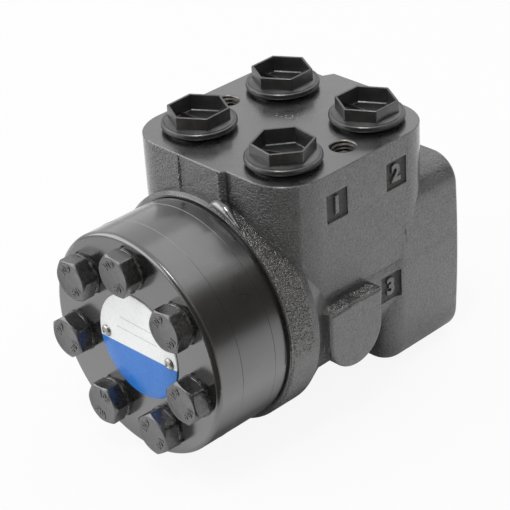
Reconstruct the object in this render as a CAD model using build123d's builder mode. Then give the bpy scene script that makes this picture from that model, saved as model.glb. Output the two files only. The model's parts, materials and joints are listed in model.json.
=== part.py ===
"""Orbital steering unit: valve housing, gerotor gear set, spool and sleeve, cover and port plugs.

Frame: millimetres. The shaft axis is Y and the origin is where it meets the column mounting face,
which looks along +Y. The gear set and its cover are at the -Y end. The port face looks along +Z.
"""
from build123d import *
from math import cos, hypot, pi, radians, sin, sqrt
import os

# ---------------------------------------------------------------- driving dimensions
# Cuts and teeth run this far past the face that they meet
cut_margin = 0.5

# Axial stack of the gear set, counted from the column face
column_to_gear_face = 102.8
plate_thickness = 5.6
stator_width = 16.8
cover_thickness = 12.3
gear_outer_r = 46.2
cover_edge_r = 2.0

# Gerotor: seven stator lobes, six rotor teeth
lobe_count = 7
tooth_count = lobe_count - 1
lobe_circle_r = 31.5
lobe_r = 8.6
eccentricity = 3.2
gear_clearance = 0.06
root_clearance = 0.2
points_per_tooth = 14
rotor_side_clearance = 0.03
spacer_thickness = 2.4
spacer_clearance = 0.3

# Cover bolts
bolt_circle_r = 33.9
bolt_start = 37.5
bolt_shank_r = 5.0
bolt_hole_clearance = 0.25
bolt_head_width = 16.0
bolt_head_height = 6.3
bolt_head_chamfer = 0.4
chamfer_slope = 0.577
shank_chamfer = 0.8
bolt_washer_r = 8.6
bolt_washer_thickness = 1.2
bolt_reach = 16.0
bolt_end_gap = 2.0
bolt_turns = (8.0, 56.0, 9.0, 36.5, 6.0, 36.0, 45.0)

# Name plate
plate_disc_r = 21.8
plate_disc_thickness = 0.6
plate_disc_x = 2.4
plate_disc_z = 0.8
rivet_spacing = 35.8
rivet_head_r = 2.4
rivet_head_height = 1.2
rivet_shank_r = 1.2
rivet_shank_length = 5.0
rivet_clearance = 0.05

# Cast housing
body_r = 43.3
body_end = 14.0
gear_flange_overhang = 2.3
gear_flange_front_gap = 1.0
gear_flange_length = 14.8
gear_flange_taper = 12.0
gear_face_boss_inset = 0.8
block_half_width = 43.7
block_front_gap = 4.7
block_back_length = 12.0
block_corner_r = 18.0
block_floor = 9.0
port_face_height = 61.6
block_edge = 0.4
front_relief_depth = 2.1
front_relief_x = 11.0
back_rib_half_width = 16.0
back_rib_height = 4.3
step_r = 1.2

# Column flange
flange_half_width = 42.6
flange_crown = 1.5
flange_top = 39.5
flange_bottom = 43.0
flange_top_corner_r = 12.0
flange_bottom_corner_r = 13.0
flange_length = 42.0
flange_back_r = 9.0
flange_front_r = 2.0

# Lug and cast windows on the +X wall
lug_face_x = 50.0
lug_root_depth = 14.0
lug_centre_y = -67.8
lug_half_width = 14.4
lug_top = 6.3
lug_straight = 13.8
lug_edge_r = 1.4
window_width = 11.2
window_height = 11.9
window_depth = 1.0
side_window_depth = 1.1
window_spread = 33.0
window_top_gap = 8.4
side_window_y = -40.8
side_window_z = -2.1

# Ports and their face
port_centre_y = -53.5
port_spacing = 46.0
port_r = 10.48
port_depth = 15.0
port_mouth_chamfer = 0.8
passage_r = 4.0
passage_floor = 8.0
port_bolt_spacing = 63.4
metric_thread_r = 5.0
thread_mouth_chamfer = 0.5
port_bolt_depth = 16.0
column_bolt_circle_r = 41.25
column_bolt_depth = 18.0

# Port plugs
plug_shank_clearance = 0.15
plug_shank_length = 11.0
plug_lead = 1.0
plug_flange_r = 15.0
plug_collar_r = 12.9
plug_collar_height = 1.3
plug_flange_height = 3.6
plug_lip_height = 0.5
plug_hex_r = 12.8
plug_hex_top = 8.8
plug_wall = 1.1
plug_floor = 2.0
plug_rib_width = 0.8
plug_rib_height = 1.6
plug_turns = (33.0, 51.5, 32.0, 30.0)

# Valve bore, sleeve and spool
bore_r = 19.03
sleeve_clearance = 0.03
sleeve_inner_r = 14.0
sleeve_start_gap = 0.3
sleeve_groove_depth = 0.9
groove_width = 3.6
bore_groove_depth = 3.4
bore_groove_places = (-79.0, -72.0, -36.0, -30.5)
metering_hole_r = 1.2
metering_hole_count = 12
metering_row_y = -88.0
spool_clearance = 0.03
spool_inner_r = 11.0
spool_start_gap = 0.6
spool_slot_width = 3.0
spool_slot_depth = 1.2
spool_slot_length = 34.0
spool_slot_count = 6
spool_slot_gap = 3.0
spool_shoulder = 2.0
spool_swing = 8.0
nose_r = 11.5
nose_clearance = 0.08
nose_end_gap = 1.5
nose_chamfer = 0.8
spline_major_r = 8.25
spline_minor_r = 7.2
spline_teeth = 12
spline_tooth_width = 2.0
spline_depth = 16.0
pilot_r = 8.6
pilot_depth = 3.0

# Cross pin, centring springs and their ring
pin_y = -60.0
pin_r = 4.0
pin_clearance = 0.03
pin_end_gap = 0.3
window_play = 0.3
spring_y = -26.0
spring_width = 5.0
spring_pack_height = 3.0
spring_leaf_count = 6
spring_leaf_gap = 0.05
spring_clearance = 0.1
spring_end_gap = 0.4
spring_ring_depth = 1.4
spring_ring_width = 6.0
ring_clearance = 0.1

# Thrust bearing and seals at the column end
bearing_shoulder = 17.0
race_thickness = 1.0
cage_thickness = 2.0
bearing_inner_r = 12.4
bearing_outer_gap = 0.25
bearing_face_gap = 0.05
needle_count = 12
needle_r = 0.95
needle_length = 4.6
needle_clearance = 0.05
cage_ring_thickness = 1.2
cage_edge = 0.3
shaft_seal_start = 8.0
shaft_seal_width = 4.0
shaft_seal_r = 14.6
seal_clearance = 0.05
seal_lip = 0.8
dust_seal_r = 16.0
dust_seal_depth = 4.6
dust_seal_recess = 0.5
dust_seal_wall = 1.4
dust_seal_web = 1.2

# Drive shaft between rotor and cross pin
shaft_r = 6.2
fork_r = 9.0
fork_back = 9.0
fork_front = 7.5
fork_play = 0.3
fork_slot_gap = 1.5
drive_spline_root_r = 8.1
drive_spline_tip_r = 9.7
drive_tooth_width = 2.0
drive_head_length = 8.0
drive_end_r = 5.0
drive_end_gap = 0.5
rotor_tooth_width = 1.8
rotor_spline_major_r = 10.5
rotor_spline_minor_r = 8.9
plate_bore_r = 14.0

# Flow holes and O-rings in the gear stack
flow_hole_r = 2.6
flow_circle_r = 25.0
flow_hole_depth = 9.0
ring_groove_inner_r = 41.2
ring_groove_width = 2.4
ring_groove_depth = 1.6
ring_groove_play = 0.08
ring_seal_corner = 0.5

# Check valve beside the bolt circle
check_angle = bolt_start + 1.5 * 360 / lobe_count
check_circle_r = 34.0
check_ball_r = 4.25
check_bore_r = 4.6
check_bushing_length = 7.0
check_bushing_bore_r = 2.4
check_lift = 1.5
check_seat_r = 3.0
valve_clearance = 0.05
check_passage_length = 6.0

# Suction valves: a ball and a rolled pin below two of the cover bolts
suction_bolts = (4, 5)
suction_ball_r = 2.5
suction_bore_r = 2.7
suction_pin_r = 2.5
suction_pin_length = 9.0
suction_lift = 1.0
suction_seat_r = 1.6
suction_passage_length = 4.0

# ---------------------------------------------------------------- derived places
gear_face_y = -column_to_gear_face
plate_end_y = gear_face_y - plate_thickness
stator_end_y = plate_end_y - stator_width
cover_face_y = stator_end_y - cover_thickness
rotor_mid_y = plate_end_y - stator_width / 2
lobe_pitch = 360 / lobe_count
rotor_start = bolt_start - lobe_pitch / 2
rotor_x = eccentricity * cos(radians(rotor_start))
rotor_z = eccentricity * sin(radians(rotor_start))
gear_root_r = lobe_circle_r + 2 * eccentricity - lobe_r + root_clearance
bolt_hole_r = bolt_shank_r + bolt_hole_clearance
bolt_hole_depth = bolt_reach + bolt_end_gap
bolt_angles = [bolt_start + index * lobe_pitch for index in range(lobe_count)]
flow_start = bolt_start + lobe_pitch / 2
sleeve_r = bore_r - sleeve_clearance
sleeve_start_y = gear_face_y + sleeve_start_gap
bore_end_y = -bearing_shoulder
bearing_outer_r = bore_r - bearing_outer_gap
outer_race_y = bore_end_y - bearing_face_gap
cage_y = outer_race_y - race_thickness - bearing_face_gap
inner_race_y = cage_y - cage_thickness - bearing_face_gap
sleeve_end_y = inner_race_y - race_thickness - bearing_face_gap
spool_r = sleeve_inner_r - spool_clearance
spool_start_y = gear_face_y + spool_start_gap
spool_end_y = sleeve_end_y - bearing_face_gap
nose_bore_r = nose_r + nose_clearance
nose_end_y = -nose_end_gap
spline_start_y = nose_end_y - pilot_depth
ring_seat_r = sleeve_r - spring_ring_depth
flange_start_y = gear_face_y + gear_flange_front_gap
flange_end_y = flange_start_y + gear_flange_length
gear_flange_r = gear_outer_r + gear_flange_overhang
gear_face_boss_r = gear_outer_r - gear_face_boss_inset
block_front_y = gear_face_y + block_front_gap
port_places = [
    (side * port_spacing / 2, port_centre_y + end * port_spacing / 2)
    for end in (-1, 1)
    for side in (-1, 1)
]
passage_x = bore_r + bore_groove_depth
column_bolt_offset = column_bolt_circle_r * cos(radians(45))
pin_half_length = sqrt(sleeve_r**2 - pin_r**2) - pin_end_gap
check_ball_y = gear_face_y + check_bushing_length + check_lift + check_ball_r
check_seat_height = sqrt((check_ball_r + valve_clearance) ** 2 - check_seat_r**2)
check_bore_depth = check_bushing_length + check_lift + check_ball_r + check_seat_height
suction_pin_y = gear_face_y + bolt_hole_depth
suction_ball_y = suction_pin_y + suction_pin_length + suction_lift + suction_ball_r
suction_seat_height = sqrt((suction_ball_r + valve_clearance) ** 2 - suction_seat_r**2)
suction_bore_depth = suction_ball_y - gear_face_y + suction_seat_height
drive_length = hypot(eccentricity, pin_y - rotor_mid_y)
drive_end_y = stator_end_y + rotor_side_clearance + spacer_thickness + drive_end_gap


def facing_cover(y, x=0.0, z=0.0):
    """Plane across the shaft at y, seen from the cover end: local x is X, local y is Z."""
    return Plane(origin=(x, y, z), x_dir=(1, 0, 0), z_dir=(0, -1, 0))


def facing_column(y):
    """Plane across the shaft at y whose normal looks along +Y: local x is -X, local y is Z."""
    return Plane(origin=(0, y, 0), x_dir=(-1, 0, 0), z_dir=(0, 1, 0))


def side_wall(x, y=0.0, z=0.0):
    """Plane facing +X at x: local x is Y, local y is Z."""
    return Plane(origin=(x, y, z), x_dir=(0, 1, 0), z_dir=(1, 0, 0))


def polar(radius, angle):
    """Local place at a radius and an angle in degrees."""
    return radius * cos(radians(angle)), radius * sin(radians(angle))


def ring(outer_r, inner_r, start_y, length):
    """Plain ring about the shaft axis from start_y towards -Y."""
    with BuildPart() as result:
        with BuildSketch(facing_cover(start_y)):
            Circle(outer_r)
            Circle(inner_r, mode=Mode.SUBTRACT)
        extrude(amount=length)
    return result


def turned(*profile):
    """Solid of revolution about the shaft axis from (radius, y) points."""
    with BuildPart() as result:
        with BuildSketch(Plane.XY):
            with BuildLine():
                Polyline(*profile, close=True)
            make_face()
        revolve(axis=Axis.Y)
    return result


def face_seal(face_y):
    """O-ring pressed flat into a face groove that is open towards -Y at face_y."""
    inner_r = ring_groove_inner_r + ring_groove_play
    outer_r = ring_groove_inner_r + ring_groove_width - ring_groove_play
    back_y = face_y + ring_groove_depth
    return turned(
        (inner_r, face_y + ring_seal_corner),
        (inner_r + ring_seal_corner, face_y),
        (outer_r - ring_seal_corner, face_y),
        (outer_r, face_y + ring_seal_corner),
        (outer_r, back_y - ring_seal_corner),
        (outer_r - ring_seal_corner, back_y),
        (inner_r + ring_seal_corner, back_y),
        (inner_r, back_y - ring_seal_corner),
    )


def groove_ring():
    """Sketch of the O-ring groove seen along the shaft."""
    Circle(ring_groove_inner_r + ring_groove_width)
    Circle(ring_groove_inner_r, mode=Mode.SUBTRACT)


def save(piece, name):
    """Label a finished sub-part and write its STEP file."""
    piece.part.label = name
    export_step(piece.part, f"parts/{name}.step")


os.makedirs("parts", exist_ok=True)

# ---------------------------------------------------------------- housing
# column flange: a rounded square with slightly crowned sides
with BuildPart() as column_flange:
    with BuildSketch(facing_column(-flange_length)) as flange_outline:
        with BuildLine():
            Line((-flange_half_width, flange_top), (flange_half_width, flange_top))
            for side in (1, -1):
                ThreePointArc(
                    (side * flange_half_width, flange_top),
                    (side * (flange_half_width + flange_crown), (flange_top - flange_bottom) / 2),
                    (side * flange_half_width, -flange_bottom),
                )
            Line((flange_half_width, -flange_bottom), (-flange_half_width, -flange_bottom))
        flange_face = make_face()
        flange_corners = flange_face.vertices().group_by(Axis.Y)
        fillet(flange_corners[-1], flange_top_corner_r)
        low_corners = flange_outline.vertices().group_by(Axis.Y)[0]
        fillet(low_corners, flange_bottom_corner_r)
    extrude(amount=flange_length)
    ends = column_flange.faces().filter_by(Axis.Y).sort_by(Axis.Y)
    fillet(ends[0].edges(), flange_back_r)
    ends = column_flange.faces().filter_by(Axis.Y).sort_by(Axis.Y)
    fillet(ends[-1].edges(), flange_front_r)

# lug: a tongue with a flat shelf on top and a round foot
with BuildPart() as lug:
    with BuildSketch(side_wall(lug_face_x - lug_root_depth, lug_centre_y, lug_top)):
        with Locations((0, -lug_straight / 2)):
            Rectangle(2 * lug_half_width, lug_straight)
        with Locations((0, -lug_straight)):
            Circle(lug_half_width)
    extrude(amount=lug_root_depth)
    fillet(lug.faces().sort_by(Axis.X)[-1].edges(), lug_edge_r)

with BuildPart() as housing:
    # round body along the shaft
    with BuildSketch(facing_column(flange_start_y)):
        Circle(body_r)
    extrude(amount=-flange_start_y - body_end)

    # cast flange behind the gear set, tapering back to the body
    with BuildSketch(Plane.XY):
        with BuildLine():
            Polyline(
                (0, flange_start_y),
                (gear_flange_r - step_r, flange_start_y),
                (gear_flange_r, flange_start_y + step_r),
                (gear_flange_r, flange_end_y),
                (body_r, flange_end_y + gear_flange_taper),
                (0, flange_end_y + gear_flange_taper),
                close=True,
            )
        make_face()
    revolve(axis=Axis.Y)

    # machined face that carries the distribution plate
    with BuildSketch(facing_cover(flange_start_y)):
        Circle(gear_face_boss_r)
    extrude(amount=gear_flange_front_gap)

    # port block with a relieved front wall and a raised band on the back wall
    with BuildSketch(Plane.XY.offset(block_floor)):
        with BuildLine():
            Polyline(
                (-block_half_width, block_front_y),
                (front_relief_x, block_front_y),
                (front_relief_x + front_relief_depth / 2, block_front_y + front_relief_depth),
                (block_half_width, block_front_y + front_relief_depth),
                (block_half_width, -block_back_length),
                (back_rib_half_width + back_rib_height / 2, -block_back_length),
                (back_rib_half_width, back_rib_height - block_back_length),
                (-back_rib_half_width, back_rib_height - block_back_length),
                (-back_rib_half_width - back_rib_height / 2, -block_back_length),
                (-block_half_width, -block_back_length),
                close=True,
            )
        block_face = make_face()
        columns = block_face.vertices().group_by(Axis.X)
        fillet(columns[0] + columns[-1], block_corner_r)
    extrude(amount=port_face_height - block_floor)
    chamfer(housing.faces().sort_by(Axis.Z)[-1].edges(), block_edge)

    add(column_flange.part)
    add(lug.part)

    # cast windows beside the ports and on the round body
    for window_end in (-1, 1):
        window_y = port_centre_y + window_end * window_spread / 2
        window_z = port_face_height - window_top_gap - window_height / 2
        with BuildSketch(side_wall(block_half_width - window_depth, window_y, window_z)):
            Rectangle(window_width, window_height)
        extrude(amount=window_depth + cut_margin, mode=Mode.SUBTRACT)
    with BuildSketch(side_wall(body_r - side_window_depth, side_window_y, side_window_z)):
        Rectangle(window_width, window_height)
    extrude(amount=side_window_depth + cut_margin, mode=Mode.SUBTRACT)

    # stepped valve bore: sleeve bore, neck, shaft seal groove and dust seal recess
    with BuildSketch(Plane.XY):
        with BuildLine():
            Polyline(
                (0, gear_face_y),
                (bore_r, gear_face_y),
                (bore_r, bore_end_y),
                (nose_bore_r, bore_end_y),
                (nose_bore_r, -shaft_seal_start - shaft_seal_width),
                (shaft_seal_r, -shaft_seal_start - shaft_seal_width),
                (shaft_seal_r, -shaft_seal_start),
                (nose_bore_r, -shaft_seal_start),
                (nose_bore_r, -dust_seal_depth),
                (dust_seal_r, -dust_seal_depth),
                (dust_seal_r, 0),
                (0, 0),
                close=True,
            )
        make_face()
    revolve(axis=Axis.Y, mode=Mode.SUBTRACT)
    for groove_y in bore_groove_places:
        with BuildSketch(facing_column(groove_y - groove_width / 2)):
            Circle(bore_r + bore_groove_depth)
        extrude(amount=groove_width, mode=Mode.SUBTRACT)

    # ports with their passages to the bore grooves
    with BuildSketch(Plane.XY.offset(port_face_height)):
        with Locations(*port_places):
            Circle(port_r)
    extrude(amount=-port_depth, mode=Mode.SUBTRACT)
    with BuildSketch(Plane.XY.offset(port_face_height - port_depth)):
        passages = [(side * passage_x, groove_y) for side, groove_y in zip((-1, 1, -1, 1), bore_groove_places)]
        with Locations(*passages):
            Circle(passage_r)
    extrude(amount=-(port_face_height - port_depth - passage_floor), mode=Mode.SUBTRACT)

    # threaded holes of the port face and of the column face
    with BuildSketch(Plane.XY.offset(port_face_height)):
        with Locations(*[(side * port_bolt_spacing / 2, port_centre_y) for side in (-1, 1)]):
            Circle(metric_thread_r)
    extrude(amount=-port_bolt_depth, mode=Mode.SUBTRACT)
    with BuildSketch(facing_column(0)):
        with GridLocations(2 * column_bolt_offset, 2 * column_bolt_offset, 2, 2):
            Circle(metric_thread_r)
    extrude(amount=-column_bolt_depth, mode=Mode.SUBTRACT)
    top_rings = housing.faces().sort_by(Axis.Z)[-1].edges().filter_by(GeomType.CIRCLE)
    chamfer([edge for edge in top_rings if abs(edge.radius - port_r) < cut_margin], port_mouth_chamfer)
    top_rings = housing.faces().sort_by(Axis.Z)[-1].edges().filter_by(GeomType.CIRCLE)
    chamfer([edge for edge in top_rings if abs(edge.radius - metric_thread_r) < cut_margin], thread_mouth_chamfer)
    column_face = housing.faces().filter_by(Axis.Y).sort_by(Axis.Y)[-1]
    face_rings = column_face.edges().filter_by(GeomType.CIRCLE)
    chamfer([edge for edge in face_rings if abs(edge.radius - metric_thread_r) < cut_margin], thread_mouth_chamfer)

    # gear face: bolt holes, flow holes, O-ring groove, check valve and suction valve bores
    with BuildSketch(facing_cover(gear_face_y)):
        with PolarLocations(bolt_circle_r, lobe_count, start_angle=bolt_start):
            Circle(bolt_hole_r)
    extrude(amount=-bolt_hole_depth, mode=Mode.SUBTRACT)
    with BuildSketch(facing_cover(gear_face_y)):
        with PolarLocations(flow_circle_r, lobe_count, start_angle=flow_start):
            Circle(flow_hole_r)
    extrude(amount=-flow_hole_depth, mode=Mode.SUBTRACT)
    with BuildSketch(facing_cover(gear_face_y)):
        groove_ring()
    extrude(amount=-ring_groove_depth, mode=Mode.SUBTRACT)
    for hole_r, depth in (
        (check_bore_r, check_bore_depth),
        (check_seat_r, check_bore_depth + check_passage_length),
    ):
        with BuildSketch(facing_cover(gear_face_y)):
            with Locations(polar(check_circle_r, check_angle)):
                Circle(hole_r)
        extrude(amount=-depth, mode=Mode.SUBTRACT)
    for hole_r, depth in (
        (suction_bore_r, suction_bore_depth),
        (suction_seat_r, suction_bore_depth + suction_passage_length),
    ):
        with BuildSketch(facing_cover(gear_face_y)):
            with Locations(*[polar(bolt_circle_r, bolt_angles[index]) for index in suction_bolts]):
                Circle(hole_r)
        extrude(amount=-depth, mode=Mode.SUBTRACT)
save(housing, "housing")

# ---------------------------------------------------------------- gear stack
with BuildPart() as distribution_plate:
    with BuildSketch(facing_cover(gear_face_y)):
        Circle(gear_outer_r)
        Circle(plate_bore_r, mode=Mode.SUBTRACT)
        with PolarLocations(bolt_circle_r, lobe_count, start_angle=bolt_start):
            Circle(bolt_hole_r, mode=Mode.SUBTRACT)
        with PolarLocations(flow_circle_r, lobe_count, start_angle=flow_start):
            Circle(flow_hole_r, mode=Mode.SUBTRACT)
    extrude(amount=plate_thickness)
    with BuildSketch(facing_cover(plate_end_y)):
        groove_ring()
    extrude(amount=-ring_groove_depth, mode=Mode.SUBTRACT)
save(distribution_plate, "distribution_plate")

with BuildPart() as stator_ring:
    with BuildSketch(facing_cover(plate_end_y)):
        Circle(gear_outer_r)
        Circle(gear_root_r, mode=Mode.SUBTRACT)
        with PolarLocations(lobe_circle_r, lobe_count, start_angle=bolt_start):
            Circle(lobe_r)
        with PolarLocations(bolt_circle_r, lobe_count, start_angle=bolt_start):
            Circle(bolt_hole_r, mode=Mode.SUBTRACT)
    extrude(amount=stator_width)
save(stator_ring, "stator_ring")

with BuildPart() as end_cover:
    with BuildSketch(facing_cover(stator_end_y)):
        Circle(gear_outer_r)
        with PolarLocations(bolt_circle_r, lobe_count, start_angle=bolt_start):
            Circle(bolt_hole_r, mode=Mode.SUBTRACT)
    extrude(amount=cover_thickness)
    outer_face = end_cover.faces().filter_by(Axis.Y).sort_by(Axis.Y)[0]
    fillet(outer_face.edges().sort_by(SortBy.RADIUS)[-1], cover_edge_r)
    with BuildSketch(facing_cover(stator_end_y)):
        groove_ring()
    extrude(amount=ring_groove_depth, mode=Mode.SUBTRACT)
    with BuildSketch(facing_cover(cover_face_y, plate_disc_x, plate_disc_z)):
        with GridLocations(rivet_spacing, 1, 2, 1):
            Circle(rivet_shank_r + rivet_clearance)
    extrude(amount=-rivet_shank_length, mode=Mode.SUBTRACT)
save(end_cover, "end_cover")

save(face_seal(gear_face_y), "housing_o_ring")
save(face_seal(plate_end_y), "plate_o_ring")
save(face_seal(stator_end_y - ring_groove_depth), "cover_o_ring")


def rotor_point(turn):
    """Rotor outline: the path of a lobe centre in the rotor's frame, offset inwards by the lobe."""
    lobe_turn = turn / lobe_count
    slope_x = -lobe_circle_r / lobe_count * sin(lobe_turn) - eccentricity * sin(turn)
    slope_y = lobe_circle_r / lobe_count * cos(lobe_turn) + eccentricity * cos(turn)
    inset = (lobe_r + gear_clearance) / hypot(slope_x, slope_y)
    x = lobe_circle_r * cos(lobe_turn) + eccentricity * cos(turn) - inset * slope_y
    y = lobe_circle_r * sin(lobe_turn) + eccentricity * sin(turn) + inset * slope_x
    return Vector(x, y).rotate(Axis.Z, rotor_start)


with BuildPart() as rotor:
    with BuildSketch(facing_cover(plate_end_y - rotor_side_clearance, rotor_x, rotor_z)):
        with BuildLine():
            steps = tooth_count * points_per_tooth
            outline = [rotor_point(2 * pi * lobe_count * step / steps) for step in range(steps)]
            Spline(*outline, periodic=True)
        make_face()
        Circle(rotor_spline_major_r, mode=Mode.SUBTRACT)
        tooth_height = rotor_spline_major_r - rotor_spline_minor_r + cut_margin
        tooth_middle_r = rotor_spline_minor_r + tooth_height / 2
        with PolarLocations(tooth_middle_r, spline_teeth, start_angle=180 / spline_teeth):
            Rectangle(tooth_height, rotor_tooth_width)
    extrude(amount=stator_width - 2 * rotor_side_clearance)
save(rotor, "rotor")

with BuildPart() as spacer:
    with BuildSketch(facing_cover(stator_end_y + rotor_side_clearance, rotor_x, rotor_z)):
        Circle(rotor_spline_minor_r - spacer_clearance)
    extrude(amount=-spacer_thickness)
save(spacer, "spacer")

# drive shaft: its axis leans from the cross pin to the rotor's centre
drive_axis = Vector(rotor_x, rotor_mid_y - pin_y, rotor_z)
drive_plane = Plane(origin=(0, pin_y, 0), x_dir=(1, 0, 0), z_dir=drive_axis)
with BuildPart() as drive_shaft:
    with BuildSketch(drive_plane.offset(-fork_front)):
        Circle(fork_r)
    extrude(amount=fork_front + fork_back)
    with BuildSketch(drive_plane):
        Circle(shaft_r)
    extrude(amount=drive_length)
    with BuildSketch(drive_plane.offset(drive_length - drive_head_length / 2)):
        Circle(drive_spline_root_r)
        tip_height = drive_spline_tip_r - drive_spline_root_r + cut_margin
        with PolarLocations(drive_spline_tip_r - tip_height / 2, spline_teeth):
            Rectangle(tip_height, drive_tooth_width)
    extrude(amount=drive_head_length)
    with BuildSketch(drive_plane.offset(drive_length)):
        Circle(drive_end_r)
    extrude(amount=rotor_mid_y - drive_end_y)
    slot_depth = pin_r + fork_slot_gap
    with BuildSketch(drive_plane.offset(slot_depth)):
        Rectangle(3 * fork_r, 2 * (pin_r + fork_play))
    extrude(amount=-slot_depth - 2 * fork_front, mode=Mode.SUBTRACT)
save(drive_shaft, "drive_shaft")

# ---------------------------------------------------------------- cover fasteners and name plate
head_corner_r = bolt_head_width / 2 / cos(radians(30))
head_face_r = bolt_head_width / 2 - bolt_head_chamfer
with BuildPart() as bolt:
    with BuildSketch(Plane.XY.offset(bolt_washer_thickness)):
        RegularPolygon(head_corner_r, 6)
    extrude(amount=bolt_head_height)
    with BuildSketch(Plane.XZ):
        with BuildLine():
            head_top = bolt_washer_thickness + bolt_head_height
            Polyline(
                (0, 0),
                (head_corner_r + cut_margin, 0),
                (head_corner_r + cut_margin, head_top - (head_corner_r + cut_margin - head_face_r) * chamfer_slope),
                (head_face_r, head_top),
                (0, head_top),
                close=True,
            )
        make_face()
    revolve(axis=Axis.Z, mode=Mode.INTERSECT)
    with BuildSketch(Plane.XY.offset(bolt_washer_thickness)):
        Circle(bolt_shank_r)
    stack_height = cover_thickness + stator_width + plate_thickness
    extrude(amount=-(bolt_washer_thickness + stack_height + bolt_reach))
    chamfer(bolt.faces().sort_by(Axis.Z)[0].edges(), shank_chamfer)


def bolts_at(indexes):
    """Cover bolts at the given places of the bolt circle, each tightened to its own angle."""
    with BuildPart() as result:
        for index in indexes:
            x, z = polar(bolt_circle_r, bolt_angles[index])
            with Locations(facing_cover(cover_face_y, x, z).location):
                add(bolt.part, rotation=(0, 0, bolt_turns[index]))
    return result


save(bolts_at(range(1, lobe_count)), "cover_bolts")
save(bolts_at([0]), "pin_bolt")

with BuildPart() as cover_washers:
    with BuildSketch(facing_cover(cover_face_y)):
        with PolarLocations(bolt_circle_r, lobe_count, start_angle=bolt_start):
            Circle(bolt_washer_r)
        with PolarLocations(bolt_circle_r, lobe_count, start_angle=bolt_start):
            Circle(bolt_hole_r, mode=Mode.SUBTRACT)
    extrude(amount=bolt_washer_thickness)
save(cover_washers, "cover_washers")

with BuildPart() as name_plate:
    with BuildSketch(facing_cover(cover_face_y, plate_disc_x, plate_disc_z)):
        Circle(plate_disc_r)
        with GridLocations(rivet_spacing, 1, 2, 1):
            Circle(rivet_shank_r + rivet_clearance, mode=Mode.SUBTRACT)
    extrude(amount=plate_disc_thickness)
save(name_plate, "name_plate")

with BuildPart() as name_plate_rivets:
    rivet_sphere_r = (rivet_head_r**2 + rivet_head_height**2) / (2 * rivet_head_height)
    for side in (-1, 1):
        rivet_plane = facing_cover(
            cover_face_y - plate_disc_thickness,
            plate_disc_x + side * rivet_spacing / 2,
            plate_disc_z,
        )
        with BuildSketch(rivet_plane):
            Circle(rivet_shank_r)
        extrude(amount=-(rivet_shank_length + plate_disc_thickness - rivet_clearance))
        with BuildSketch(Plane(origin=rivet_plane.origin, x_dir=(1, 0, 0), z_dir=(0, 0, 1))):
            with BuildLine():
                Line((0, 0), (rivet_head_r, 0))
                RadiusArc((rivet_head_r, 0), (0, -rivet_head_height), rivet_sphere_r)
                Line((0, -rivet_head_height), (0, 0))
            make_face()
        revolve(axis=Axis(rivet_plane.origin, (0, 1, 0)))
save(name_plate_rivets, "name_plate_rivets")

# ---------------------------------------------------------------- valves in the gear face
check_place = polar(check_circle_r, check_angle)
with BuildPart() as check_bushing:
    with BuildSketch(facing_cover(gear_face_y, *check_place)):
        Circle(check_bore_r - valve_clearance)
        RegularPolygon(check_bushing_bore_r, 6, mode=Mode.SUBTRACT)
    extrude(amount=-check_bushing_length)
save(check_bushing, "check_bushing")

with BuildPart() as check_ball:
    with Locations((check_place[0], check_ball_y, check_place[1])):
        Sphere(check_ball_r)
save(check_ball, "check_ball")

for number, index in enumerate(suction_bolts, start=1):
    suction_place = polar(bolt_circle_r, bolt_angles[index])
    with BuildPart() as suction_ball:
        with Locations((suction_place[0], suction_ball_y, suction_place[1])):
            Sphere(suction_ball_r)
    save(suction_ball, f"suction_ball_{number}")

with BuildPart() as suction_pins:
    with BuildSketch(facing_cover(suction_pin_y)):
        with Locations(*[polar(bolt_circle_r, bolt_angles[index]) for index in suction_bolts]):
            Circle(suction_pin_r)
            Circle(suction_pin_r / 2, mode=Mode.SUBTRACT)
    extrude(amount=-suction_pin_length)
save(suction_pins, "suction_pins")

# ---------------------------------------------------------------- sleeve, spool and their centring
with BuildPart() as sleeve:
    with BuildSketch(facing_column(sleeve_start_y)):
        Circle(sleeve_r)
        Circle(sleeve_inner_r, mode=Mode.SUBTRACT)
    extrude(amount=sleeve_end_y - sleeve_start_y)
    for groove_y in bore_groove_places:
        with BuildSketch(facing_column(groove_y - groove_width / 2)):
            Circle(sleeve_r + cut_margin)
            Circle(sleeve_r - sleeve_groove_depth, mode=Mode.SUBTRACT)
        extrude(amount=groove_width, mode=Mode.SUBTRACT)
    with BuildSketch(facing_column(spring_y - spring_ring_width / 2)):
        Circle(sleeve_r + cut_margin)
        Circle(ring_seat_r, mode=Mode.SUBTRACT)
    extrude(amount=spring_ring_width, mode=Mode.SUBTRACT)
    for step in range(metering_hole_count // 2):
        hole_turn = step * 360 / metering_hole_count
        hole_plane = Plane(
            origin=(0, metering_row_y, 0),
            x_dir=(0, 1, 0),
            z_dir=(cos(radians(hole_turn)), 0, sin(radians(hole_turn))),
        )
        with BuildSketch(hole_plane):
            Circle(metering_hole_r)
        extrude(amount=2 * sleeve_r, both=True, mode=Mode.SUBTRACT)
    with BuildSketch(side_wall(0, pin_y)):
        Circle(pin_r + pin_clearance)
    extrude(amount=2 * sleeve_r, both=True, mode=Mode.SUBTRACT)
    with BuildSketch(side_wall(0, spring_y)):
        Rectangle(spring_width + 2 * spring_clearance, spring_pack_height + 2 * spring_clearance)
    extrude(amount=2 * sleeve_r, both=True, mode=Mode.SUBTRACT)
save(sleeve, "sleeve")

with BuildPart() as cross_pin:
    with BuildSketch(side_wall(0, pin_y)):
        Circle(pin_r)
    extrude(amount=pin_half_length, both=True)
save(cross_pin, "cross_pin")

with BuildPart() as centring_springs:
    leaf_height = spring_pack_height / spring_leaf_count
    for leaf in range(spring_leaf_count):
        leaf_z = (leaf + 0.5) * leaf_height - spring_pack_height / 2
        with BuildSketch(side_wall(0, spring_y, leaf_z)):
            Rectangle(spring_width, leaf_height - spring_leaf_gap)
        extrude(amount=ring_seat_r - spring_end_gap, both=True)
save(centring_springs, "centring_springs")

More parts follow.
